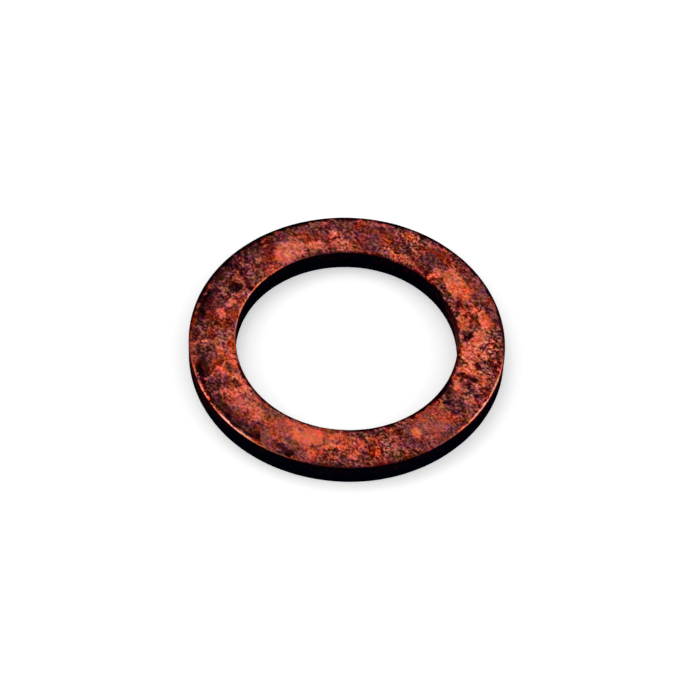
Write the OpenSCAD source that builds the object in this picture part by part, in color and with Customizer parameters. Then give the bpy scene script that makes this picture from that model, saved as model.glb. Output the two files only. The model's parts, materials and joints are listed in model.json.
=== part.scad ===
// Copper crush washer for an M14 drain plug.
// One flat ring, blanked from soft annealed copper sheet, lying on its lower face.
// Units are millimetres. The origin is the centre of the lower face, and +Z is up.

/* [Ring] */
// Outer diameter of the ring
outer_d = 20; // [18:0.1:32]
// Diameter of the bore, which slips over the thread of the plug
bore_d = 14; // [6:0.1:15]
// Thickness of the ring before it is crushed
thickness = 1.6; // [1:0.1:3]

/* [Edges] */
// Radius of the upper edges, which are rolled over where the punch enters the sheet
rolled_r = 0.2; // [0.05:0.05:0.5]
// Radius of the lower edges, where the burr of the cut is tumbled off
tumbled_r = 0.05; // [0.05:0.05:0.4]

/* [Hidden] */

// Tarnished copper
copper = [0.60, 0.27, 0.18];

outer_r = outer_d / 2;
bore_r = bore_d / 2;
// Width of the flat land between the bore and the rim
land_w = outer_r - bore_r;

// How far a cutter stands past the surface that it cuts
overcut = 0.5;
// Facets of a preview around the ring and around one edge's circle
ring_fn = 180;
edge_fn = 48;

// What rounding takes off a square corner at the origin, with the metal towards -X and -Y
module corner_waste(r) {
    translate([-r, -r])
        difference() {
            square(r + overcut);
            circle(r = r, $fn = edge_fn);
        }
}

// Half section of the ring, with the axis along Y: the sheet, less its four rounded edges
module section() {
    difference() {
        translate([bore_r, 0])
            square([land_w, thickness]);
        translate([outer_r, thickness])
            corner_waste(rolled_r);
        translate([bore_r, thickness])
            mirror([1, 0])
                corner_waste(rolled_r);
        translate([outer_r, 0])
            mirror([0, 1])
                corner_waste(tumbled_r);
        translate([bore_r, 0])
            mirror([1, 0])
                mirror([0, 1])
                    corner_waste(tumbled_r);
    }
}

// The whole washer, turned from its section
module washer() {
    color(copper)
        rotate_extrude($fn = ring_fn)
            section();
}

washer();
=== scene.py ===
# %% [markdown]
# # A copper crush washer
# A crush washer is a flat ring of soft copper that lies under the head of a drain plug. The plug
# squeezes it once, and the copper flows into every scratch and seals the joint. It is a single
# piece, so this lesson has two subjects: a ring whose section follows a rule, made with Geometry
# Nodes, and its finish, a tarnish with painted highlights and painted shade on its edges and
# walls, which is painted on the mesh and mottled by shader nodes.

# %% Load the frame
import bpy
import json
import math
import numpy as np
from mathutils import Matrix, Vector, noise as point_noise


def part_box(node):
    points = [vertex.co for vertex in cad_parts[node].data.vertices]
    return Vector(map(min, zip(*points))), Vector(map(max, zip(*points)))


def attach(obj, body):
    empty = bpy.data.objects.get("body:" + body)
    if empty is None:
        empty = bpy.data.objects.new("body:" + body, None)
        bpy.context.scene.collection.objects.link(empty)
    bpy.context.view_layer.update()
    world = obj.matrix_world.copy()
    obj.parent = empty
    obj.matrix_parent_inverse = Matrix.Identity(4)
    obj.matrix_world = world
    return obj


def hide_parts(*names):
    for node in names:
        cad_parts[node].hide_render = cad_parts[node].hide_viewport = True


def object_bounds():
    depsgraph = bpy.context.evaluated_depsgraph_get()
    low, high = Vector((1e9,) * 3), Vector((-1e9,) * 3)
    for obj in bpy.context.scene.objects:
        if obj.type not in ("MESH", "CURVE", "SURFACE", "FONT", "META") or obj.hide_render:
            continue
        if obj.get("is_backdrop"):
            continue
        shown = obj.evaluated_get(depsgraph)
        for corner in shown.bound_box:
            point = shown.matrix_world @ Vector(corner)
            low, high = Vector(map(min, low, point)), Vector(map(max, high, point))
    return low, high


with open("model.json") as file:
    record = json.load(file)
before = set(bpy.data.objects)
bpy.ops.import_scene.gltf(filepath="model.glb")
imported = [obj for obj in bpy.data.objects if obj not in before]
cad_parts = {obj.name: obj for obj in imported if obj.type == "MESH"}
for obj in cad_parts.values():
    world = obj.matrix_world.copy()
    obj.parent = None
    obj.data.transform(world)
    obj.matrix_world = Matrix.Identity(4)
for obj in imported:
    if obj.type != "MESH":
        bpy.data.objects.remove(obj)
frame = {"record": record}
cad_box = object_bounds()
MM = 0.001
print("CAD box in mm:", [[round(x / MM, 3) for x in corner] for corner in cad_box])

# %% [markdown]
# ## Sizes
# The frame holds the ring as it is cut: its rim and thickness are read from the node's box, and
# its bore from the mount of that name. Only the two edge radii are written here, because a box
# doesn't show them. The punch rolls the upper edges over, and tumbling takes the burr off the
# lower ones, so the upper edges are the rounder pair.

# %% Sizes of the ring
high_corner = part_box("washer")[1]
OUTER_R = high_corner.x
THICKNESS = high_corner.z
bore_mount = next(m for m in frame["record"]["mounts"] if m["name"] == "bore")
BORE_R = bore_mount["dims"]["r_mm"] * MM
ROLLED_R = 0.2 * MM
TUMBLED_R = 0.05 * MM
print(f"rim {OUTER_R / MM:.2f}, bore {BORE_R / MM:.2f}, thickness {THICKNESS / MM:.2f} mm")

# %% [markdown]
# ## Camera
# The picture was taken with a long lens from well above the bench, with the camera rolled by about
# two degrees. The angles and the lens were found by laying the outlines of the rim and the bore
# over the picture. A long lens far away keeps both ellipses nearly alike. The small shift puts the
# ring a few pixels off the middle, as it is in the picture.

# %% Camera
PHOTO_PX = 700
SENSOR_MM = 36.0
FOCAL_PX = 3732.0
CAMERA_ELEVATION = math.radians(52.5)
CAMERA_ROLL = math.radians(2.354)
CAMERA_DISTANCE = 236 * MM
RING_LEFT_PX = 3.41
RING_UP_PX = 3.75

ring_centre = Vector((0, 0, THICKNESS / 2))
look = Vector((0, math.cos(CAMERA_ELEVATION), -math.sin(CAMERA_ELEVATION)))
camera_data = bpy.data.cameras.new("camera")
camera_data.sensor_width = SENSOR_MM
camera_data.lens = FOCAL_PX * SENSOR_MM / PHOTO_PX
camera_data.shift_x = RING_LEFT_PX / PHOTO_PX
camera_data.shift_y = -RING_UP_PX / PHOTO_PX
camera_data.clip_start = 10 * MM
camera = bpy.data.objects.new("camera", camera_data)
tilt = Matrix.Rotation(math.pi / 2 - CAMERA_ELEVATION, 4, "X")
roll = Matrix.Rotation(CAMERA_ROLL, 4, "Z")
camera.matrix_world = Matrix.Translation(ring_centre - look * CAMERA_DISTANCE) @ tilt @ roll
bpy.context.scene.collection.objects.link(camera)
bpy.context.scene.camera = camera
bpy.context.scene.view_settings.view_transform = "Standard"
print(f"camera: lens {camera_data.lens:.1f} mm")

# %% [markdown]
# ## Helpers for node trees
# Geometry and shader trees are built from the same few calls. `feed` sets a socket to a value, or
# links it where the value is another node's output, so a formula reads in one line.

# %% Helpers for node trees
def feed(tree, socket, value):
    """Set a socket to a value, or link it to another node's output."""
    if isinstance(value, bpy.types.NodeSocket):
        tree.links.new(value, socket)
    else:
        socket.default_value = value


def add_node(tree, kind, inputs=None, **settings):
    """Add a node with its settings and its named inputs."""
    node = tree.nodes.new(kind)
    for name, value in settings.items():
        setattr(node, name, value)
    for name, value in (inputs or {}).items():
        feed(tree, node.inputs[name], value)
    return node


def calc(tree, operation, *values):
    """One step of arithmetic on numbers."""
    node = add_node(tree, "ShaderNodeMath", operation=operation)
    for socket, value in zip(node.inputs, values):
        feed(tree, socket, value)
    return node.outputs[0]


def vector_calc(tree, operation, *values, output="Vector"):
    """One step of arithmetic on vectors."""
    node = add_node(tree, "ShaderNodeVectorMath", operation=operation)
    for socket, value in zip(node.inputs, values):
        feed(tree, socket, value)
    return node.outputs[output]


def scaled(tree, vector, factor):
    """A vector times a number."""
    values = {"Vector": vector, "Scale": factor}
    return add_node(tree, "ShaderNodeVectorMath", values, operation="SCALE").outputs["Vector"]


def ease(tree, value, start, end):
    """A soft step from 0 at start to 1 at end."""
    places = {"Value": value, "From Min": start, "From Max": end}
    node = add_node(tree, "ShaderNodeMapRange", places, interpolation_type="SMOOTHSTEP")
    return node.outputs["Result"]


def noise(tree, vector, size, detail=2.0, roughness=0.6):
    """Noise with lumps of about the given size, in the vector's own units."""
    values = {"Vector": vector, "Scale": 1 / size, "Detail": detail, "Roughness": roughness}
    return add_node(tree, "ShaderNodeTexNoise", values)


def new_group(name, kind, inputs, outputs):
    """An empty node group with named sockets, and its two end nodes."""
    group = bpy.data.node_groups.new(name, kind)
    for direction, sockets in (("INPUT", inputs), ("OUTPUT", outputs)):
        for socket_name, socket_type in sockets.items():
            full_type = "NodeSocket" + socket_type
            group.interface.new_socket(socket_name, in_out=direction, socket_type=full_type)
    given_end = group.nodes.new("NodeGroupInput")
    result_end = group.nodes.new("NodeGroupOutput")
    return group, given_end.outputs, result_end.inputs


print("helpers ready")

# %% [markdown]
# ## Floor and light
# The washer lies on pale paper. One large softbox above and behind it is mirrored in the upper
# face, two smaller ones at the sides catch the rounded edges, and the world fills the rest.
# Together they give a level surface about as much light as makes white look white, so a colour
# renders about as it is written. The paper glows a little where the camera or a reflection sees
# it, which makes it white without more light on the copper, and it keeps the shadow.

# %% Floor
FLOOR_HALF = 1.5
FLOOR_WHITE = (0.93, 0.93, 0.93, 1)
FLOOR_LIFT = 0.26
PAPER_ROUGHNESS = 0.9
PAPER_GLOSS = 0.1

floor_square = ((-1, -1), (1, -1), (1, 1), (-1, 1))
floor_corners = [(FLOOR_HALF * x, FLOOR_HALF * y, 0) for x, y in floor_square]
floor_mesh = bpy.data.meshes.new("floor")
floor_mesh.from_pydata(floor_corners, [], [(0, 1, 2, 3)])
floor = bpy.data.objects.new("floor", floor_mesh)
bpy.context.scene.collection.objects.link(floor)
paper = bpy.data.materials.new("pale_paper")
paper.use_nodes = True
paper_tree = paper.node_tree
paper_shader = paper_tree.nodes["Principled BSDF"]
paper_shader.inputs["Base Color"].default_value = FLOOR_WHITE
paper_shader.inputs["Roughness"].default_value = PAPER_ROUGHNESS
paper_shader.inputs["Specular IOR Level"].default_value = PAPER_GLOSS
paper_shader.inputs["Emission Color"].default_value = (1, 1, 1, 1)
sight = add_node(paper_tree, "ShaderNodeLightPath").outputs
seen = calc(paper_tree, "MAXIMUM", sight["Is Camera Ray"], sight["Is Glossy Ray"])
seen = calc(paper_tree, "MAXIMUM", seen, sight["Is Transmission Ray"])
paper_lift = calc(paper_tree, "MULTIPLY", seen, FLOOR_LIFT)
feed(paper_tree, paper_shader.inputs["Emission Strength"], paper_lift)
floor_mesh.materials.append(paper)
floor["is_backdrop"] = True
print("floor", 2 * FLOOR_HALF, "m wide")

# %% Lamps and world
def softbox(name, bearing, elevation, distance, size, radiance):
    """A square lamp that faces the ring, placed by its bearing from +X and its height, in degrees."""
    lamp = bpy.data.lights.new(name, "AREA")
    lamp.size = size
    lamp.energy = radiance * math.pi * size * size
    turn, rise = math.radians(bearing), math.radians(elevation)
    way = Vector((math.cos(rise) * math.cos(turn), math.cos(rise) * math.sin(turn), math.sin(rise)))
    box = bpy.data.objects.new(name, lamp)
    box.location = ring_centre + way * distance
    box.rotation_euler = way.to_track_quat("Z", "Y").to_euler()
    bpy.context.scene.collection.objects.link(box)
    return box


softbox("softbox_key", bearing=120, elevation=60, distance=0.6, size=0.35, radiance=1.2)
softbox("softbox_left", bearing=185, elevation=30, distance=0.5, size=0.25, radiance=2.2)
softbox("softbox_right", bearing=-10, elevation=30, distance=0.5, size=0.25, radiance=2.2)

WORLD_LIGHT = 0.72
world = bpy.data.worlds.new("studio")
bpy.context.scene.world = world
world.use_nodes = True
sky = world.node_tree.nodes["Background"]
sky.inputs["Color"].default_value = (1, 1, 1, 1)
sky.inputs["Strength"].default_value = WORLD_LIGHT

# %% [markdown]
# ## The ring
# The real ring is punched from sheet, so its section is a rectangle with four rounded corners. It
# could be a cylinder with a hole and a bevel, but then the edges would all be alike and perfect.
# Here a rectangle curve gets a fillet whose radius depends on the corner, its straight sides are
# divided finely, and the section is swept round a circle. The sweep leaves an even grid of faces,
# which can then be pushed about by fractions of a hair to be as uneven as soft copper is.

# %% Tree of the ring: its inputs
FLOAT_INPUTS = {
    "Outer Radius": OUTER_R,
    "Bore Radius": BORE_R,
    "Thickness": THICKNESS,
    "Rolled Radius": ROLLED_R,
    "Tumbled Radius": TUMBLED_R,
    "Facet Length": 0.085 * MM,
    "Out of Round": 0.05 * MM,
    "Face Waves": 0.012 * MM,
    "Edge Wear": 0.035 * MM,
    "Torn Wall": 0.02 * MM,
}
WHOLE_INPUTS = {"Facets Around": 720, "Facets per Edge": 9}

ring_tree, size_of, ring_end = new_group(
    "washer_ring",
    "GeometryNodeTree",
    {**dict.fromkeys(FLOAT_INPUTS, "Float"), **dict.fromkeys(WHOLE_INPUTS, "Int")},
    {"Ring": "Geometry"},
)
print("ring tree inputs:", [socket.name for socket in size_of if socket.name])

# %% Tree of the ring: its section
def part(value, axis):
    """One coordinate of a vector in the ring's tree."""
    return add_node(ring_tree, "ShaderNodeSeparateXYZ", {"Vector": value}).outputs[axis]


def ring_calc(operation, *values):
    """Arithmetic in the ring's tree."""
    return calc(ring_tree, operation, *values)


place = add_node(ring_tree, "GeometryNodeInputPosition").outputs[0]
land = ring_calc("SUBTRACT", size_of["Outer Radius"], size_of["Bore Radius"])
sheet = add_node(
    ring_tree,
    "GeometryNodeCurvePrimitiveQuadrilateral",
    {"Width": land, "Height": size_of["Thickness"]},
).outputs["Curve"]
# The sweep turns the section over, so its lower corners become the ring's upper edges
is_upper = ring_calc("LESS_THAN", part(place, "Y"), 0.0)
rounder = ring_calc("SUBTRACT", size_of["Rolled Radius"], size_of["Tumbled Radius"])
corner_r = ring_calc("MULTIPLY_ADD", is_upper, rounder, size_of["Tumbled Radius"])
rounded = add_node(
    ring_tree,
    "GeometryNodeFilletCurve",
    {"Curve": sheet, "Count": size_of["Facets per Edge"], "Radius": corner_r},
    mode="POLY",
).outputs["Curve"]
following = add_node(ring_tree, "GeometryNodeOffsetPointInCurve", {"Offset": 1}).outputs["Point Index"]
next_place = add_node(ring_tree, "GeometryNodeFieldAtIndex", data_type="FLOAT_VECTOR", domain="POINT")
feed(ring_tree, next_place.inputs["Index"], following)
feed(ring_tree, next_place.inputs["Value"], place)
side = vector_calc(ring_tree, "DISTANCE", place, next_place.outputs[0], output="Value")
cuts = ring_calc("FLOOR", ring_calc("DIVIDE", side, size_of["Facet Length"]))
section = add_node(
    ring_tree, "GeometryNodeSubdivideCurve", {"Curve": rounded, "Cuts": cuts}
).outputs["Curve"]
print("section: a filleted rectangle with divided sides")

# %% Tree of the ring: the sweep
middle = ring_calc("DIVIDE", ring_calc("ADD", size_of["Outer Radius"], size_of["Bore Radius"]), 2.0)
rail = add_node(
    ring_tree,
    "GeometryNodeCurvePrimitiveCircle",
    {"Resolution": size_of["Facets Around"], "Radius": middle},
    mode="RADIUS",
).outputs["Curve"]
swept = add_node(
    ring_tree, "GeometryNodeCurveToMesh", {"Curve": rail, "Profile Curve": section}
).outputs["Mesh"]
lift = add_node(ring_tree, "ShaderNodeCombineXYZ", {"Z": ring_calc("DIVIDE", size_of["Thickness"], 2.0)})
resting = add_node(
    ring_tree, "GeometryNodeSetPosition", {"Geometry": swept, "Offset": lift.outputs["Vector"]}
).outputs["Geometry"]
print("sweep: round a circle through the middle of the section")

# %% [markdown]
# ## Uneven copper
# No punched ring is perfect. Sheet copper is a little wavy, the punch leaves the ring a few
# hundredths of a millimetre out of round, knocks wear the rounded edges, and the lower part of a
# punched wall is torn, not cut. Each of these is a noise that moves the points along a direction
# of its own. The faces only ever move inwards, so the ring still lies flat on its lowest points.

# %% Tree of the ring: unevenness
WAVE_MM = 2.4
KNOCK_MM = 0.8
TEAR_MM = 0.22
BEND_MM = 9.0
BEND_GAIN = 2.0
FINE_DETAIL = 3.0
# how level a surface is where an edge or a wall begins and where it is fully reached
LEVEL_OFF_WALL = (0.02, 0.4)
LEVEL_OFF_FACE = (1.0, 0.9)
LEVEL_ON_WALL = (0.3, 0.02)
TORN_FROM = 0.6 * THICKNESS
TORN_FULLY = 0.35 * THICKNESS

facing = add_node(ring_tree, "GeometryNodeInputNormal").outputs[0]
levelness = ring_calc("ABSOLUTE", part(facing, "Z"))


def ring_noise(size_mm, detail=2.0):
    """Noise in the ring's tree, with lumps of a size in millimetres."""
    return noise(ring_tree, place, size_mm * MM, detail).outputs["Fac"]


def ring_ease(value, start, end):
    """A soft step in the ring's tree."""
    return ease(ring_tree, value, start, end)


# 1 on the rounded edges, 0 on the flat faces and on the walls
off_wall = ring_ease(levelness, *LEVEL_OFF_WALL)
off_face = ring_ease(levelness, *LEVEL_OFF_FACE)
on_edge = ring_calc("MULTIPLY", off_wall, off_face)
on_wall = ring_ease(levelness, *LEVEL_ON_WALL)
torn = ring_calc("MULTIPLY", on_wall, ring_ease(part(place, "Z"), TORN_FROM, TORN_FULLY))
waves = ring_calc("MULTIPLY", ring_noise(WAVE_MM), size_of["Face Waves"])
knocks = ring_calc("MULTIPLY", ring_noise(KNOCK_MM, FINE_DETAIL), size_of["Edge Wear"])
knocks = ring_calc("MULTIPLY", knocks, on_edge)
tears = ring_calc("MULTIPLY", ring_noise(TEAR_MM, FINE_DETAIL), size_of["Torn Wall"])
tears = ring_calc("MULTIPLY", tears, torn)
inward = ring_calc("MULTIPLY", ring_calc("ADD", ring_calc("ADD", waves, knocks), tears), -1.0)
outward = vector_calc(ring_tree, "NORMALIZE", vector_calc(ring_tree, "MULTIPLY", place, (1, 1, 0)))
bend = ring_calc("SUBTRACT", ring_noise(BEND_MM, 0.0), 0.5)
bend = ring_calc("MULTIPLY", bend, size_of["Out of Round"])
bend = ring_calc("MULTIPLY", bend, BEND_GAIN)
pushed_in = scaled(ring_tree, facing, inward)
pushed_out = scaled(ring_tree, outward, bend)
moved = vector_calc(ring_tree, "ADD", pushed_in, pushed_out)
uneven = add_node(
    ring_tree, "GeometryNodeSetPosition", {"Geometry": resting, "Offset": moved}
).outputs["Geometry"]
print("unevenness: waves, knocks, tears and a bend")

# %% [markdown]
# ## From the tree to a mesh
# The tree ends by giving the ring its material, and a modifier runs it with the sizes above. The
# modifier could stay, but the tarnish is painted on points that have to stay where they are, and
# other programs want a plain mesh. So the result is turned into one, and the modifier goes.

# %% Tree of the ring: end
# the copper's material also holds the painted highlights and painted shade of its edges and walls
copper = bpy.data.materials.new("tarnished_copper_with_painted_light")
copper.use_nodes = True
smooth = add_node(ring_tree, "GeometryNodeSetShadeSmooth", {"Geometry": uneven}).outputs["Geometry"]
whole = add_node(ring_tree, "GeometryNodeRealizeInstances", {"Geometry": smooth}).outputs["Geometry"]
dressed = add_node(ring_tree, "GeometryNodeSetMaterial", {"Geometry": whole, "Material": copper})
feed(ring_tree, ring_end["Ring"], dressed.outputs["Geometry"])
print("ring tree:", len(ring_tree.nodes), "nodes")

# %% Make the ring
ring = bpy.data.objects.new("copper_ring", bpy.data.meshes.new("copper_ring"))
bpy.context.scene.collection.objects.link(ring)
maker = ring.modifiers.new("washer_ring", "NODES")
maker.node_group = ring_tree
for item in ring_tree.interface.items_tree:
    if item.in_out == "INPUT":
        maker[item.identifier] = {**FLOAT_INPUTS, **WHOLE_INPUTS}[item.name]
made = bpy.data.meshes.new_from_object(ring.evaluated_get(bpy.context.evaluated_depsgraph_get()))
ring.modifiers.remove(maker)
ring.data = made
made.name = "copper_ring"
points = np.array([vertex.co for vertex in made.vertices]) / MM
print("ring:", len(points), "vertices, low", points.min(0).round(3), "high", points.max(0).round(3))

# %% [markdown]
# ## Tarnish
# Copper that has been heated or stored goes from salmon to brown, maroon and nearly black. One
# number, the tone, says how far it has gone: 0 is brown, 1.5 is bare copper and -2.5 is soot. The
# same number carries painted light too: tones above 2 are painted highlights on the edges, the dark
# tones of the edges are painted shade, and those of the walls are dark oxide with painted shade over
# it. A noise alone would look like marble, the same all round, but this ring has patches with places
# of their own. So the tone is laid on the points of the mesh first, like paint, and the shader adds
# the mottle that is finer than the mesh.

# %% Paint: helpers
# where a patch and a stroke fade out and where they are full, in halves of their size
PATCH_FADE = (1.16, 0.8)
STROKE_FADE = (1.4, 0.5)


def soft_step(values, start, end):
    """A soft step from 0 at start to 1 at end, for arrays."""
    share = np.clip((values - start) / (end - start), 0, 1)
    return share * share * (3 - 2 * share)


def on_ring(bearing, radius):
    """The place at a bearing in degrees, counted from +X, and a distance from the axis."""
    turn = math.radians(bearing)
    return radius * np.array([math.cos(turn), math.sin(turn)])


def patch_share(spots, bearing, radius, length, width):
    """1 inside an ellipse that lies along the ring, falling to 0 around its outline."""
    away = spots - on_ring(bearing, radius)
    along = away @ on_ring(bearing + 90, 1) / (length / 2)
    across = away @ on_ring(bearing, 1) / (width / 2)
    return soft_step(np.hypot(along, across), *PATCH_FADE)


def stroke_share(spots, start, end, thickness):
    """1 along a straight stroke between two places, falling to 0 beside it."""
    line = end - start
    share = np.clip((spots - start) @ line / (line @ line), 0, 1)
    gap = np.linalg.norm(spots - start - np.outer(share, line), axis=1)
    return soft_step(gap / (thickness / 2), *STROKE_FADE)


print("paint helpers ready")
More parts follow.
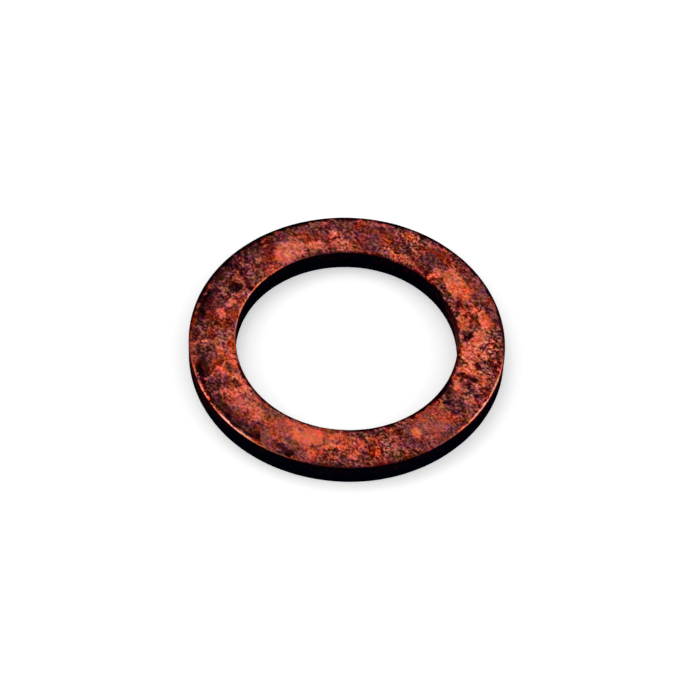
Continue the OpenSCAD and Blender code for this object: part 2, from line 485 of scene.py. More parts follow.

# %% [markdown]
# ## Patches with a place
# Bare copper shows where something rubbed the face, and oxide stays in the hollows between. Each
# patch is an ellipse, given by its bearing round the ring, its distance from the axis, its length
# along the ring and its width across it. Scratches, cracks and a thin dark line just inside the rim
# are strokes from one place to another. A noise crumples all of them a little, so that none has a
# clean outline. Its seed is fixed, because it would be different in every run otherwise. The lower
# face has the same patches, turned round the axis.

# %% Paint: places of the patches and strokes
# tone of a kind of patch, then bearing in degrees, and radius, length and width in millimetres
PATCHES = {
    "bare": (1.35, [
        (3.5, 8.35, 1.2, 1.0), (12, 8.9, 1.3, 0.65), (14.5, 8.8, 1.0, 0.5), (18.5, 8.5, 0.5, 0.5),
        (29, 8.25, 1.6, 1.25), (37, 8.3, 2.1, 1.15), (45, 7.75, 0.7, 1.2), (107.5, 7.8, 1.5, 0.75),
        (117, 7.95, 1.6, 1.25), (122.5, 7.85, 1.5, 1.6), (161.5, 7.95, 0.9, 0.5),
        (167.5, 8.15, 0.8, 0.45), (184, 8.8, 0.35, 0.4), (302.5, 8.45, 0.9, 0.6), (335, 7.75, 0.8, 0.7),
        (344.5, 8.1, 0.7, 1.2), (354, 7.95, 1.9, 1.0), (359.5, 8.1, 0.9, 0.9),
    ]),
    "rubbed": (0.9, [
        (0.5, 9.15, 0.9, 0.45), (12.5, 7.5, 1.2, 0.7), (19.5, 7.7, 0.7, 0.5), (20.5, 8.3, 0.7, 0.5),
        (34, 7.85, 1.2, 0.4), (36, 8.8, 0.9, 0.4), (54, 9.55, 1.2, 0.3), (61, 7.5, 1.3, 0.5),
        (64.5, 9.25, 1.3, 0.5), (67.5, 7.5, 1.0, 0.45), (73, 8.45, 0.5, 0.4), (78.5, 9.45, 0.7, 0.35),
        (94, 7.55, 1.3, 1.0), (97, 8.4, 0.6, 0.55), (101.5, 7.55, 0.5, 0.3), (134, 8.5, 0.5, 0.5),
        (134, 7.4, 0.6, 0.35), (140, 8.4, 0.35, 0.4), (181, 7.35, 1.0, 0.4), (190, 8.0, 0.8, 0.5),
        (195, 7.35, 1.8, 0.35), (199, 8.45, 0.4, 0.3), (202, 8.3, 0.5, 0.3), (207, 7.4, 1.2, 0.4),
        (213, 7.35, 1.2, 0.3), (214, 7.55, 1.2, 0.5), (215, 8.3, 1.6, 1.0), (222, 7.5, 1.2, 0.5),
        (223, 8.2, 1.6, 0.9), (229, 8.2, 0.8, 1.1), (250, 7.4, 2.4, 0.3), (254, 8.05, 2.2, 1.1),
        (255.5, 8.8, 0.5, 0.3), (258.5, 9.3, 0.6, 1.0), (265, 8.45, 0.8, 0.6), (266, 7.7, 0.9, 0.5),
        (269, 8.5, 0.7, 0.6), (274.5, 9.1, 0.9, 0.7), (278, 8.25, 0.5, 0.45), (282.5, 7.8, 0.5, 0.5),
        (284, 9.15, 0.5, 0.7), (292, 7.7, 0.6, 0.5), (294, 7.35, 0.8, 0.3), (320.5, 9.05, 0.35, 0.5),
        (330.5, 9.05, 0.8, 1.0), (338, 7.4, 0.9, 0.3), (342.5, 9.15, 0.7, 0.4), (343, 7.4, 0.7, 0.3),
        (355, 8.8, 1.0, 0.5), (355, 7.4, 1.6, 0.4),
    ]),
    "dull": (0.4, [
        (9, 8.8, 1.2, 0.5), (19, 7.4, 1.4, 0.4), (23, 9.45, 0.7, 0.5), (60, 8.3, 0.8, 0.6),
        (72, 7.8, 0.8, 0.4), (72.5, 9.2, 0.7, 0.4), (84, 9.55, 1.0, 0.4), (104.5, 9.45, 0.4, 0.5),
        (115, 8.8, 0.8, 0.4), (147.5, 8.4, 0.4, 0.8), (176, 8.2, 0.8, 0.4), (185, 8.0, 1.4, 0.9),
        (192, 7.5, 2.2, 0.5), (213, 7.55, 1.6, 0.4), (240, 8.2, 2.0, 1.8), (247, 9.1, 1.0, 0.4),
        (256.5, 8.1, 3.6, 1.4), (273, 8.2, 2.0, 1.2), (288, 8.6, 1.6, 1.2), (310, 8.6, 2.2, 1.8),
        (312, 7.4, 0.9, 0.3), (316.5, 8.3, 1.2, 1.4), (325, 9.2, 0.9, 0.7), (342, 9.1, 2.0, 0.8),
        (351, 8.75, 1.4, 0.5), (356, 9.2, 1.0, 0.4),
    ]),
    "brown": (-0.35, [
        (1, 9.65, 0.9, 0.25), (13, 9.6, 1.2, 0.3), (13.5, 8.3, 1.6, 0.55), (37, 9.5, 1.8, 0.5),
        (44, 9.4, 1.0, 0.6), (48, 7.3, 0.8, 0.3), (48, 9.3, 1.6, 0.8), (53.5, 8.4, 2.2, 1.5),
        (66, 8.3, 1.8, 0.9), (67, 9.6, 1.0, 0.3), (76, 9.1, 1.2, 0.6), (79, 7.4, 1.0, 0.4),
        (85.5, 8.0, 1.2, 1.0), (88, 9.0, 2.2, 1.0), (97, 9.6, 0.9, 0.3), (99, 9.1, 0.8, 0.7),
        (103, 8.25, 0.7, 0.5), (105, 8.55, 0.4, 0.4), (108, 8.45, 1.3, 0.35), (115, 9.4, 1.8, 0.6),
        (121, 9.6, 0.9, 0.3), (125, 9.0, 1.6, 0.5), (127.5, 8.6, 0.9, 1.1), (134, 8.2, 2.2, 1.6),
        (138.5, 8.8, 0.9, 0.5), (142, 8.75, 1.8, 1.2), (144, 8.6, 0.8, 0.8), (147, 9.1, 1.5, 1.0),
        (150.5, 9.1, 0.8, 1.1), (153, 9.3, 1.0, 0.8), (163, 8.3, 0.7, 0.4), (164, 8.8, 2.6, 0.6),
        (165, 9.35, 2.6, 0.8), (170, 8.55, 2.0, 0.6), (172, 9.0, 2.4, 0.8), (174.5, 7.6, 0.9, 0.5),
        (179, 9.35, 1.2, 0.8), (181, 9.65, 1.2, 0.4), (187, 8.75, 0.8, 0.4), (187, 7.75, 0.7, 0.4),
        (196, 8.95, 2.4, 0.7), (201, 8.9, 0.8, 0.4), (201, 7.75, 1.0, 0.45), (204.5, 7.3, 0.7, 0.25),
        (208.5, 8.15, 0.9, 0.9), (232, 8.8, 0.7, 0.8), (235, 8.8, 0.9, 0.7), (248, 9.5, 1.8, 0.7),
        (266, 8.85, 0.8, 0.4), (270, 9.4, 0.9, 0.8), (278, 9.45, 1.6, 0.6), (281, 8.6, 0.6, 1.6),
        (296, 9.6, 1.2, 0.4), (297.3, 8.8, 0.6, 1.2), (301.5, 9.35, 0.6, 0.8), (313, 9.5, 1.4, 0.4),
        (318, 9.5, 0.8, 0.5), (325, 8.7, 1.0, 1.4), (326, 9.55, 1.0, 0.4), (333, 9.1, 0.3, 0.9),
        (337.5, 9.55, 1.2, 0.5), (348, 7.25, 1.6, 0.3), (349, 9.6, 1.4, 0.3), (351, 9.1, 1.4, 0.6),
        (354, 9.6, 1.2, 0.35),
    ]),
    "oxide": (-0.8, [
        (5, 8.25, 0.3, 0.2), (15, 8.1, 0.4, 0.3), (35.5, 7.4, 1.2, 0.25), (41.5, 7.75, 0.5, 0.45),
        (50, 7.45, 1.4, 0.4), (56, 7.75, 0.5, 0.3), (61, 8.1, 0.4, 0.25), (68, 7.8, 0.4, 0.2),
        (128, 9.35, 2.6, 0.6), (138, 9.4, 1.6, 0.8), (138, 8.9, 0.6, 0.4), (141.5, 8.5, 0.5, 0.5),
        (147, 9.5, 1.3, 0.5), (151.5, 9.65, 0.9, 0.3), (153, 9.45, 1.0, 0.5), (155, 9.6, 1.2, 0.4),
        (158, 9.35, 0.9, 0.7), (160, 8.35, 0.4, 0.25), (162, 9.3, 1.4, 0.6), (163, 8.1, 0.25, 0.3),
        (165, 9.35, 1.8, 0.8), (165.5, 7.9, 0.5, 0.25), (172, 9.45, 1.4, 0.75), (172.5, 7.7, 0.4, 0.25),
        (175, 8.3, 0.5, 0.3), (176, 8.0, 0.4, 0.25), (180.5, 9.6, 1.0, 0.4), (181.5, 8.6, 0.5, 0.8),
        (193, 9.25, 2.0, 0.65), (199, 9.3, 0.8, 0.7), (206, 9.05, 1.0, 1.0), (214, 9.4, 2.4, 0.6),
        (226, 9.4, 1.8, 0.6), (234, 9.4, 1.0, 0.6), (248.5, 9.5, 1.2, 0.6), (258, 8.7, 0.3, 0.25),
        (271, 8.3, 0.25, 0.3), (273, 8.6, 0.22, 0.25), (274.5, 7.7, 0.5, 0.25), (275.5, 8.3, 0.25, 0.25),
        (279, 9.0, 0.3, 0.5), (279, 7.8, 0.5, 0.5), (284, 8.3, 0.3, 0.3), (285.5, 7.45, 1.2, 0.5),
        (296, 7.9, 0.5, 0.3), (329.5, 7.65, 1.2, 0.6), (333, 9.25, 0.25, 0.4), (336.3, 8.35, 0.35, 0.4),
        (337.5, 9.6, 0.8, 0.3), (347, 8.6, 0.3, 0.4), (350, 9.2, 0.35, 0.35), (352, 8.95, 0.4, 0.3),
        (357, 8.5, 0.35, 0.35),
    ]),
    "soot": (-1.9, [
        (4.5, 7.75, 0.5, 0.4), (149.2, 7.3, 0.3, 0.35), (153, 8.15, 0.85, 1.05), (162, 9.45, 1.2, 0.3),
        (170, 9.4, 0.8, 0.4), (198.5, 9.55, 1.2, 0.3), (222, 9.6, 0.5, 0.3), (236.5, 9.55, 0.4, 0.3),
        (250.3, 9.65, 0.5, 0.3), (323.5, 7.9, 0.45, 0.6),
    ]),
    "film": (0.0, [
        (10, 9.6, 3.0, 0.6), (35, 9.5, 4.0, 0.6), (52, 8.6, 1.6, 1.0), (65, 9.6, 4.0, 0.4),
        (99, 9.1, 1.2, 1.0), (112, 9.5, 5.0, 0.7), (142, 8.9, 3.0, 1.8), (153, 8.15, 0.8, 1.0),
        (165, 9.3, 4.0, 0.9), (196, 9.2, 2.2, 0.9), (206, 9.1, 1.2, 1.2), (222, 9.4, 4.4, 0.7),
        (248, 9.5, 2.0, 0.8), (270, 9.4, 1.0, 0.9), (285.5, 7.55, 0.9, 0.5), (301.5, 9.4, 0.6, 0.8),
        (313, 9.55, 1.4, 0.5), (326, 8.5, 1.4, 2.2), (333.5, 8.9, 0.5, 1.0),
    ]),
}
# bearing and radius of both ends of a stroke, its thickness in millimetres, and its tone
STROKES = [
    (27, 8.0, 17.5, 7.25, 0.3, -1.4), (144, 9.8, 143.5, 8.9, 0.3, -1.6),
    (143.5, 8.6, 149.5, 7.2, 0.25, -0.8), (155.5, 9.0, 156.5, 7.7, 0.2, 0.9),
    (202.6, 9.5, 201.3, 8.9, 0.14, 1.6), (199, 8.25, 195.5, 7.8, 0.14, 1.2),
    (201.3, 8.9, 198.5, 8.5, 0.14, 1.0), (198.5, 8.35, 210, 7.45, 0.16, 1.5),
    (320, 8.6, 321.5, 7.6, 0.2, 0.9), (331, 8.4, 333, 7.6, 0.3, 0.6), (321.5, 9.5, 326, 8.9, 0.3, -0.5),
    (333.5, 9.2, 337, 8.1, 0.25, -0.6), (340.5, 8.6, 341.5, 7.4, 0.35, -1.2),
    # the last four strokes lay a thin dark line just inside the rim, from 195 to 238 degrees
    (337.8, 8.8, 338.6, 8.5, 0.3, 1.5), (195, 9.62, 204, 9.72, 0.18, -1.6),
    (204, 9.72, 214, 9.76, 0.16, -1.6), (214, 9.76, 225, 9.77, 0.16, -1.6),
    (225, 9.77, 238, 9.72, 0.16, -1.4),
]
print("patches:", {kind: len(patches) for kind, (_, patches) in PATCHES.items()})
print("strokes:", len(STROKES))

# %% Paint: lay the patches on the faces
BASE_TONE = 0.1
# the height that the noises give to the upper face, in millimetres
PATTERN_TOP = 1.5
CRUMPLE_SEED = 1
CRUMPLE_MM = 0.7
CRUMPLE_REACH = 0.23
STROKE_CRUMPLE = 0.1
CRUMPLE_OCTAVES = 4
CRUMPLE_FALL = 0.75
UNDER_TURN = 140
DARKEST_FACE = -2.3
BAREST_FACE = 1.9

lowered = points + (0, 0, PATTERN_TOP - THICKNESS / MM)
point_noise.seed_set(CRUMPLE_SEED)
crumple = np.array([
    point_noise.turbulence_vector(point / CRUMPLE_MM, CRUMPLE_OCTAVES, False, amplitude_scale=CRUMPLE_FALL)
    for point in lowered
])
spots = (points + CRUMPLE_REACH * crumple)[:, :2]
is_under = points[:, 2] < THICKNESS / MM / 2
turned_spots = spots @ np.array([on_ring(UNDER_TURN, 1), on_ring(UNDER_TURN + 90, 1)])
spots[is_under] = turned_spots[is_under]
stroke_spots = spots + (STROKE_CRUMPLE - CRUMPLE_REACH) * crumple[:, :2]
face_tone = np.full(len(points), BASE_TONE)
patch_shares = {}
for kind, (kind_tone, patches) in PATCHES.items():
    patch_shares[kind] = np.max([patch_share(spots, *patch) for patch in patches], axis=0)
    face_tone += kind_tone * patch_shares[kind]
for bearing, radius, end_bearing, end_radius, stroke_width, stroke_tone in STROKES:
    stroke_ends = on_ring(bearing, radius), on_ring(end_bearing, end_radius)
    face_tone += stroke_tone * stroke_share(stroke_spots, *stroke_ends, stroke_width)
face_tone = np.clip(face_tone, DARKEST_FACE, BAREST_FACE)
print("mean crumple", np.abs(crumple).mean().round(2))
print("face tone from", face_tone.min().round(2), "to", face_tone.max().round(2))

# %% [markdown]
# ## Edges and walls
# The rounded edges carry painted highlights where they would catch the side lamps, on the near
# left and right of the rim and on the far side of the bore, and painted shade where they turn away.
# The walls are painted nearly black, as dark oxide with painted shade over it. Their tones change
# mainly with the bearing, so each is a short list of bearings and tones, with straight changes
# between them. On a wall, the sheared upper band is a little lighter than the torn one below it.

# %% Paint: tones round the edges and walls
# bearing in degrees, then a tone, or a width in millimetres
# the rim: painted highlights on its near left and near right, painted shade round its far side, and
# lighter painted shade in its near middle
RIM_LIGHT_AND_SHADE = {
    0: -1.2, 12: -1.9, 30: -2.3, 60: -2.6, 120: -2.7, 150: -2.9, 170: -2.3, 180: -1.2, 186: 0.2, 194: 1.4,
    203: 2.6, 225: 2.8, 236: 2.5, 243: 0.9, 252: 0.2, 262: -0.5, 280: -0.9, 296: -0.6, 306: 0.2, 314: 0.6,
    321: 2.0, 330: 2.9, 345: 2.9, 351: 1.4, 356: -0.3,
}
# the bore's edge: flecks of painted highlight on its far right, a painted highlight on its far left, and
# painted shade along its near side
BORE_EDGE_LIGHT_AND_SHADE = {
    0: -1.0, 27: -1.4, 31: 0.8, 35: -2.2, 41: -2.6, 43: 0.2, 46: -1.8, 49: -0.6, 53: -2.0, 57: -0.2,
    62: -1.2, 66: 0.2, 70: -1.4, 85: -1.0, 93: 0.2, 100: -0.6, 110: -0.4, 118: 0.4, 130: 1.0, 140: 2.0,
    150: 2.5, 172: 2.6, 182: 2.0, 195: 0.8, 203: -1.6, 220: -2.6, 330: -2.8, 345: -1.4,
}
# the walls: dark oxide with painted shade over it, near black where the camera sees them
RIM_WALL_OXIDE_AND_SHADE = {
    0: -1.6, 20: -1.8, 60: -2.2, 120: -2.2, 160: -1.8, 185: -1.7, 195: -2.1, 205: -2.4, 215: -2.6,
    225: -2.9, 235: -3.0, 335: -3.0, 345: -2.7, 353: -2.1,
}
BORE_WALL_OXIDE_AND_SHADE = {
    0: -1.3, 10: -1.7, 20: -2.1, 30: -2.6, 40: -2.9, 50: -3.0, 162: -3.0, 178: -2.2, 200: -1.5, 220: -1.2,
    320: -1.2, 340: -1.2,
}
# how wide each edge's band of painted highlight and painted shade is
RIM_WIDTHS = {
    0: 0.2, 40: 0.3, 60: 0.36, 130: 0.42, 150: 0.42, 172: 0.25, 186: 0.14, 208: 0.15, 245: 0.15, 260: 0.2,
    305: 0.2, 318: 0.15, 350: 0.15,
}
BORE_WIDTHS = {
    0: 0.16, 190: 0.16, 205: 0.26, 240: 0.22, 262: 0.22, 285: 0.38, 300: 0.36, 318: 0.4, 335: 0.36,
    350: 0.2,
}
print("bearings listed: rim", len(RIM_LIGHT_AND_SHADE), "and bore edge", len(BORE_EDGE_LIGHT_AND_SHADE))

# %% Paint: lay the edges and walls
SHEARED_TONE = 0.5
SHEARED_FROM = 0.75
SHEARED_FULLY = 0.9
SHEARED_REACH = 0.2
# how far below the upper face a wall's tone begins and where it is full, in millimetres
WALL_DEPTHS = (0.08, 0.15)
RAGGED_REACH = 0.5

bearings = np.degrees(np.arctan2(points[:, 1], points[:, 0]))


def around(values):
    """The value at each point's bearing, from a few bearings and their values."""
    return np.interp(bearings, list(values), list(values.values()), period=360)


from_axis = np.hypot(points[:, 0], points[:, 1])
from_rim = OUTER_R / MM - from_axis
from_bore = from_axis - BORE_R / MM
at_bore = from_bore < from_rim
# depth below a face; the smaller lower edges are counted as if they were as large as the upper ones
from_face = np.where(is_under, points[:, 2] * ROLLED_R / TUMBLED_R, THICKNESS / MM - points[:, 2])
# the walls' tones: dark oxide with painted shade over it, and a lighter sheared band
wall_oxide_and_shade = np.where(at_bore, around(BORE_WALL_OXIDE_AND_SHADE), around(RIM_WALL_OXIDE_AND_SHADE))
sheared_height = points[:, 2] + SHEARED_REACH * crumple[:, 2]
wall_oxide_and_shade += SHEARED_TONE * (soft_step(sheared_height, SHEARED_FROM, SHEARED_FULLY) - 0.5)
wall_share = soft_step(from_face, *WALL_DEPTHS)
# the edges' painted highlights and painted shade; the lower edges take the walls' tones instead
edge_light_and_shade = np.where(at_bore, around(BORE_EDGE_LIGHT_AND_SHADE), around(RIM_LIGHT_AND_SHADE))
edge_light_and_shade[is_under] = wall_oxide_and_shade[is_under]
edge_width = np.where(at_bore, around(BORE_WIDTHS), around(RIM_WIDTHS))
ragged_gap = np.minimum(from_rim, from_bore) + RAGGED_REACH * edge_width * crumple[:, 2]
edge_share = soft_step(ragged_gap, edge_width, edge_width / 2)

laid_tone = face_tone + (edge_light_and_shade - face_tone) * edge_share
laid_tone += (wall_oxide_and_shade - laid_tone) * wall_share
print("laid tone from", laid_tone.min().round(2), "to", laid_tone.max().round(2))

# %% [markdown]
# ## Film and calm stretches
# A purple film lies over the walls and some of the patches, and some stretches of the ring are
# speckled where others are calm. A list of bearings gives the strength of the mottle, as for the
# edges, and a soft noise varies it, so that no seam shows between two stretches. All that was
# painted is then stored on the points, under names that the shader can ask for.

# %% Paint: film and strength of the mottle
MOTTLE_STRENGTHS = {
    0: 1.3, 8: 1.0, 12: 0.8, 20: 1.0, 35: 0.9, 46: 1.0, 53: 0.6, 60: 1.1, 66: 1.1, 80: 0.5, 90: 0.8,
    95: 1.0, 108: 0.7, 120: 0.8, 135: 0.9, 153: 1.1, 162: 0.7, 175: 0.8, 185: 0.8, 215: 0.8, 232: 0.5,
    255: 0.5, 266: 0.8, 280: 0.9, 290: 1.0, 300: 0.9, 310: 0.5, 318: 0.6, 322: 1.0, 337: 1.0, 347: 1.1,
    355: 1.4,
}
WALL_FILM = 0.7
WALL_MOTTLE = 0.3
CALM_MM = 1.0
CALM_REACH = 0.6
CALM_LIMITS = (0.2, 1.8)
EDGE_CALM = 0.4

film_share = np.maximum(patch_shares["film"], WALL_FILM * wall_share)
calm = np.array([point_noise.noise(point / CALM_MM) for point in lowered])
mottle_share = around(MOTTLE_STRENGTHS) * np.clip(1 - CALM_REACH * calm, *CALM_LIMITS)
mottle_share *= 1 - EDGE_CALM * edge_share
mottle_share *= 1 + WALL_MOTTLE * wall_share
painted = {
    "laid_tone": laid_tone,
    "mottle_share": mottle_share,
    "wall_share": wall_share,
    "film_share": film_share,
}
for name, values in painted.items():
    made.attributes.new(name, "FLOAT", "POINT").data.foreach_set("value", values)
print("painted on the points:", list(painted))

# %% [markdown]
# ## Mottle
# Finer than the patches are the flecks of the oxide and the grains of the copper. The flecks are
# a noise that goes both ways, to dark and to light, and a second one leaves a few dark blots where
# it is highest. Both are drawn out a little along the direction in which the sheet was rolled. The
# grains are the cells of a Voronoi pattern, each with a random tone. Two more noises stain the
# colour from place to place, one towards purple and one towards pink.

# %% Group: mottle
ROLLED_ALONG = math.radians(135)
ROLLED_LENGTH = 1.3
ROLLED_STRETCH = (1 / ROLLED_LENGTH, 1, 1)
FLECK_MM = 0.16
FLECK_SPREAD = 0.09
BLOT_MM = 0.22
BLOT_START = 0.9
BLOT_END = 1.6
GRAIN_MM = 0.08
PURPLE_MM = 0.85
PINK_MM = 0.45
STAIN_SPREAD = 0.09
CRINKLE_MM = 0.2
CRINKLE_REACH = 0.15
HALF = (0.5, 0.5, 0.5)

mottle, given, result = new_group(
    "mottle",
    "ShaderNodeTree",
    {"Vector": "Vector"},
    {"Flecks": "Float", "Blots": "Float", "Grain": "Float", "Purple": "Float", "Pink": "Float"},
)


def noise_parts(vector, size, spread, **settings):
    """Three noises that know nothing of each other, each around 0 and about 1 high."""
    drawn = noise(mottle, vector, size, **settings).outputs["Color"]
    centred = scaled(mottle, vector_calc(mottle, "SUBTRACT", drawn, HALF), 1 / spread)
    return add_node(mottle, "ShaderNodeSeparateXYZ", {"Vector": centred}).outputs


rolled = add_node(
    mottle,
    "ShaderNodeVectorRotate",
    {"Vector": given["Vector"], "Angle": -ROLLED_ALONG},
    rotation_type="Z_AXIS",
).outputs["Vector"]
rolled = vector_calc(mottle, "MULTIPLY", rolled, ROLLED_STRETCH)
crinkle = noise(mottle, rolled, CRINKLE_MM, detail=1.0).outputs["Color"]
crinkle = scaled(mottle, vector_calc(mottle, "SUBTRACT", crinkle, HALF), CRINKLE_REACH)
crinkled = vector_calc(mottle, "ADD", rolled, crinkle)
flecks = noise_parts(crinkled, FLECK_MM, FLECK_SPREAD, detail=2.0, roughness=0.6)
feed(mottle, result["Flecks"], flecks["X"])
blots = noise_parts(crinkled, BLOT_MM, FLECK_SPREAD, detail=2.0, roughness=0.6)
feed(mottle, result["Blots"], ease(mottle, blots["X"], BLOT_START, BLOT_END))
cells = add_node(mottle, "ShaderNodeTexVoronoi", {"Vector": crinkled, "Scale": 1 / GRAIN_MM})
grain = add_node(mottle, "ShaderNodeSeparateColor", {"Color": cells.outputs["Color"]}).outputs["Red"]
feed(mottle, result["Grain"], calc(mottle, "MULTIPLY_ADD", grain, 2.0, -1.0))
purple_stains = noise_parts(crinkled, PURPLE_MM, STAIN_SPREAD, detail=3.0, roughness=0.75)
feed(mottle, result["Purple"], purple_stains["X"])
pink_stains = noise_parts(crinkled, PINK_MM, STAIN_SPREAD, detail=2.0, roughness=0.7)
feed(mottle, result["Pink"], pink_stains["Y"])
print("mottle group:", len(mottle.nodes), "nodes")

# %% [markdown]
# ## Tone of each place
# The shader reads what was painted on the points and adds the mottle to it. Soot and painted shade,
# and worn copper and the painted highlights of the edges, are calmer than the brown between them, so
# the painted tone also weakens the mottle. Down the walls, the punch dragged fine upright lines: a
# noise that is stretched along the axis.

# %% Copper: the tone of each place
FLECK_WEIGHT = 0.84
BLOT_WEIGHT = 0.7
GRAIN_WEIGHT = 0.38
WEAR_AND_HIGHLIGHT_CALM = 0.3
DRAG_MM = 0.1
DRAG_STRETCH = 0.15
DRAG_WEIGHT = 1.6
# tones between which the mottle comes up, what is left of it in the dark, and where wear and the
# painted highlights calm it
LIVELY_TONES = (-1.5, 0.8)
DARK_SPECKLE = 0.6
WEAR_AND_HIGHLIGHT_TONES = (0.7, 1.5)

shader = copper.node_tree
own_place = add_node(shader, "ShaderNodeTexCoord").outputs["Object"]
spot = scaled(shader, own_place, 1 / MM)
spot = vector_calc(shader, "ADD", spot, (0, 0, PATTERN_TOP - THICKNESS / MM))


def painted_value(name):
    """What was painted on the points under a name."""
    return add_node(shader, "ShaderNodeAttribute", attribute_name=name).outputs["Fac"]


def copper_calc(operation, *values):
    """Arithmetic in the copper's shader."""
    return calc(shader, operation, *values)


laid = painted_value("laid_tone")
film = painted_value("film_share")
mottle_here = painted_value("mottle_share")
walled = painted_value("wall_share")
mottled = add_node(shader, "ShaderNodeGroup", {"Vector": spot}, node_tree=mottle).outputs
brightness = ease(shader, laid, *LIVELY_TONES)
speckled = copper_calc("MULTIPLY_ADD", brightness, 1 - DARK_SPECKLE, DARK_SPECKLE)
liveliness = copper_calc("MULTIPLY", mottle_here, speckled)
dark_blots = copper_calc("MULTIPLY", copper_calc("MULTIPLY", mottled["Blots"], brightness), -BLOT_WEIGHT)
speckle = copper_calc("MULTIPLY_ADD", mottled["Flecks"], FLECK_WEIGHT, dark_blots)
speckle = copper_calc("MULTIPLY_ADD", mottled["Grain"], GRAIN_WEIGHT, speckle)
# bare copper and the painted highlights of the edges are calmer
wear_and_highlight_calm = copper_calc("MULTIPLY_ADD", ease(shader, laid, *WEAR_AND_HIGHLIGHT_TONES), -WEAR_AND_HIGHLIGHT_CALM, 1.0)
liveliness = copper_calc("MULTIPLY", liveliness, wear_and_highlight_calm)
tone = copper_calc("MULTIPLY_ADD", speckle, liveliness, laid)
drag_vector = vector_calc(shader, "MULTIPLY", spot, (1, 1, DRAG_STRETCH))
drag = copper_calc("SUBTRACT", noise(shader, drag_vector, DRAG_MM).outputs["Fac"], 0.5)
tone = copper_calc("MULTIPLY_ADD", copper_calc("MULTIPLY", drag, DRAG_WEIGHT), walled, tone)
print("copper: laid tone, speckle and drag lines added up")

# %% [markdown]
# ## Colour
# The tone picks a colour from a palette, whose lightest colours are the painted highlights of the
# edges. Two stains then push it towards purple or orange, and towards pink or olive, by about as
# much on brown as on bare copper and less on soot and painted shade, and a third push makes bare
# copper more orange, but not the painted highlights. Even steps for the eye are even steps in a
# picture, so the palette and the pushes are in its values, from 0 to 255, and a Gamma node turns the
# sum into light at the end. Bare copper is a metal and oxide isn't, so the tone also sets how
# metallic and how rough a place is.

# %% Copper: palette
# tone, then red, green and blue; the darkest colour is painted shade on the far edges and, over
# dark oxide, on the walls, and the two lightest are the painted highlights of the edges
PALETTE = (
    (-2.9, (9, 8, 13)),
    (-2.2, (38, 9, 10)),
    (-1.4, (63, 18, 17)),
    (-0.7, (85, 30, 26)),
    (-0.3, (103, 42, 37)),
    (0.0, (125, 55, 47)),
    (0.4, (148, 70, 60)),
    (0.9, (171, 86, 72)),
    (1.6, (196, 105, 89)),
    (2.4, (222, 136, 120)),
    (3.2, (250, 174, 156)),
)
PICTURE_WHITE = 255
TONE_REACH = 3.4

ramp = add_node(shader, "ShaderNodeValToRGB")
stops = ramp.color_ramp.elements
while len(stops) < len(PALETTE):
    stops.new(0.5)
for stop, (stop_tone, shade) in zip(stops, PALETTE):
    stop.position = 0.5 + stop_tone / (2 * TONE_REACH)
    stop.color = [value / PICTURE_WHITE for value in shade] + [1]
feed(shader, ramp.inputs["Fac"], copper_calc("MULTIPLY_ADD", tone, 1 / (2 * TONE_REACH), 0.5))
print("palette:", len(stops), "colours")

# %% Copper: stains
PURPLE_PUSH = (-11, 2.5, 7)
PINK_PUSH = (3, -1.5, 6)
BARE_PUSH = (15, -8, -17)
PURPLE_WEIGHT = 1.2
PINK_WEIGHT = 1.2
FILM_PURPLE = 1.0
MOST_PURPLE = 1.5
WALL_CALM = 0.6
DISPLAY_GAMMA = 2.2
# tones where a change begins and where it is complete
STAINED_TONES = (-2.6, -0.4)
# the painted highlights of the edges lie above these tones, and take no orange push
PAINTED_HIGHLIGHT_TONES = (2.5, 1.9)
BARE_TONES = (0.2, 1.3)
SOOT_AND_SHADE_STAIN = 0.25

# soot and painted shade hide the stains, so they are weaker in the dark, but the film's own purple isn't
strength = copper_calc("MULTIPLY_ADD", ease(shader, tone, *STAINED_TONES), 1 - SOOT_AND_SHADE_STAIN, SOOT_AND_SHADE_STAIN)
strength = copper_calc("MULTIPLY", strength, copper_calc("MULTIPLY_ADD", walled, -WALL_CALM, 1.0))
unhighlighted = ease(shader, laid, *PAINTED_HIGHLIGHT_TONES)
bare = copper_calc("MULTIPLY", ease(shader, laid, *BARE_TONES), unhighlighted)
purple = copper_calc("MULTIPLY", copper_calc("MULTIPLY", mottled["Purple"], PURPLE_WEIGHT), strength)
purple = copper_calc("MULTIPLY_ADD", film, FILM_PURPLE, purple)
purple = copper_calc("MINIMUM", purple, MOST_PURPLE)
pink = copper_calc("MULTIPLY", copper_calc("MULTIPLY", mottled["Pink"], PINK_WEIGHT), strength)
bare = copper_calc("MULTIPLY", bare, strength)
colour = ramp.outputs["Color"]
for push, amount in ((PURPLE_PUSH, purple), (PINK_PUSH, pink), (BARE_PUSH, bare)):
    step = scaled(shader, tuple(value / PICTURE_WHITE for value in push), amount)
    colour = vector_calc(shader, "ADD", colour, step)
colour = vector_calc(shader, "MAXIMUM", colour, (0, 0, 0))
light = add_node(shader, "ShaderNodeGamma", {"Color": colour, "Gamma": DISPLAY_GAMMA}).outputs["Color"]
print("stains: purple, pink and bare copper")

# %% Copper: surface
# tones where a change begins and where it is complete
SHINY_TONES = (-1.5, 1.5)
METAL_TONES = (-2.2, -0.6)
OXIDE_ROUGHNESS = 0.6
COPPER_ROUGHNESS = 0.4
OXIDE_GLOSS = 0.0
GRAZING_TINT = (0.6, 0.45, 0.4, 1)
RELIEF_STRENGTH = 0.4
RELIEF_MM = 0.01

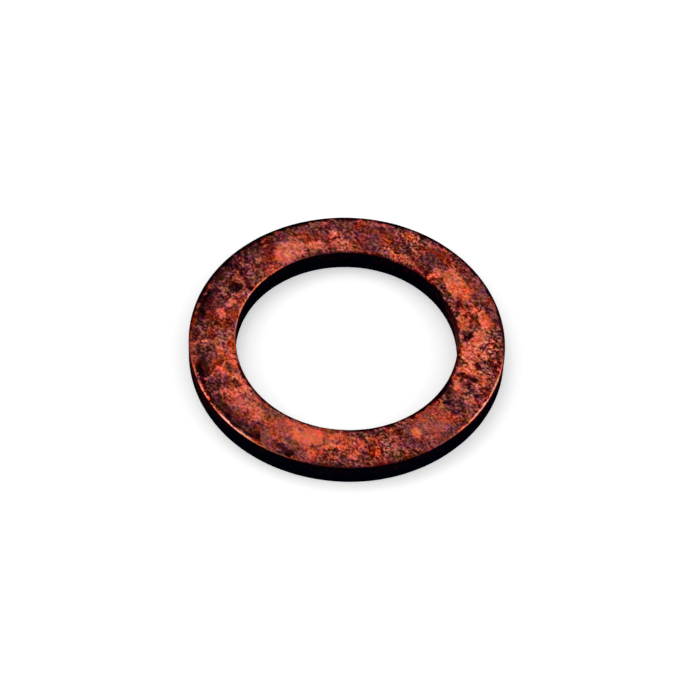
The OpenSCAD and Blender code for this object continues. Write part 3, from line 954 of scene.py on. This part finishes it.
shine = ease(shader, tone, *SHINY_TONES)
smoother = COPPER_ROUGHNESS - OXIDE_ROUGHNESS
surface = shader.nodes["Principled BSDF"]
feed(shader, surface.inputs["Base Color"], light)
feed(shader, surface.inputs["Roughness"], copper_calc("MULTIPLY_ADD", shine, smoother, OXIDE_ROUGHNESS))
feed(shader, surface.inputs["Metallic"], ease(shader, tone, *METAL_TONES))
surface.inputs["Specular IOR Level"].default_value = OXIDE_GLOSS
surface.inputs["Specular Tint"].default_value = GRAZING_TINT
relief_values = {"Strength": RELIEF_STRENGTH, "Distance": RELIEF_MM * MM, "Height": tone}
relief = add_node(shader, "ShaderNodeBump", relief_values)
feed(shader, surface.inputs["Normal"], relief.outputs["Normal"])
print("copper:", len(shader.nodes), "nodes")

# %% [markdown]
# ## A map for textures
# Other programs don't know these nodes, so for them the finish has to be baked into pictures, and a
# map says which point of such a picture belongs to which corner of a face. Blender's own unwrapping
# would lay the two faces down as rings, with empty middles. The sweep left an even grid, so each
# third of the ring can be rolled out flat instead: the way round the ring goes across the picture,
# and the way round the section goes up.

# %% Map for textures
THIRDS = 3
MAP_MARGIN = 0.01
FACE_CORNERS = 4

ring_size = WHOLE_INPUTS["Facets Around"]
section_size = len(points) // ring_size
third = ring_size // THIRDS
corner_points = np.zeros(len(made.loops), dtype=int)
made.loops.foreach_get("vertex_index", corner_points)
corner_points = corner_points.reshape(-1, FACE_CORNERS)


def unrolled(numbers, count):
    """The corner numbers of each face, with count in place of 0 where a face closes the round."""
    closes = np.ptp(numbers, axis=1, keepdims=True) > 1
    return np.where(closes & (numbers == 0), count, numbers)


along_ring = unrolled(corner_points // section_size, ring_size)
along_section = unrolled(corner_points % section_size, section_size)
first_section = points[:section_size]
section_steps = np.linalg.norm(np.roll(first_section, -1, axis=0) - first_section, axis=1)
up_section = np.concatenate([[0], np.cumsum(section_steps)]) / section_steps.sum()
strip_row = along_ring.min(axis=1, keepdims=True) // third
map_width = 1 - 2 * MAP_MARGIN
across_map = MAP_MARGIN + map_width * (along_ring - strip_row * third) / third
up_map = (strip_row + MAP_MARGIN + map_width * up_section[along_section]) / THIRDS
bake_map = made.uv_layers.new(name="OFBake")
bake_map.uv.foreach_set("vector", np.stack([across_map, up_map], axis=-1).ravel())
print("map across:", across_map.min(), "to", across_map.max())
print("map up:", up_map.min().round(4), "to", up_map.max().round(4))

# %% [markdown]
# ## Into the frame
# The frame has one body and one solid, which other programs know by name. The ring rides on that
# body, is shown in place of that solid and has its material slot. The boxes around the solid and
# around the dressed ring are written down, so that a difference in size would show.

# %% Hand the ring over to the frame
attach(ring, "root")
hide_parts("washer")
print("handed over:", ring.name, "with", len(made.polygons), "faces")

# %% Sizes and finish
visual_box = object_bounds()
boxes = {"cad": [list(corner) for corner in cad_box], "visual": [list(corner) for corner in visual_box]}
for name, box in boxes.items():
    print(name, "box in mm:", [[round(x / MM, 3) for x in corner] for corner in box])
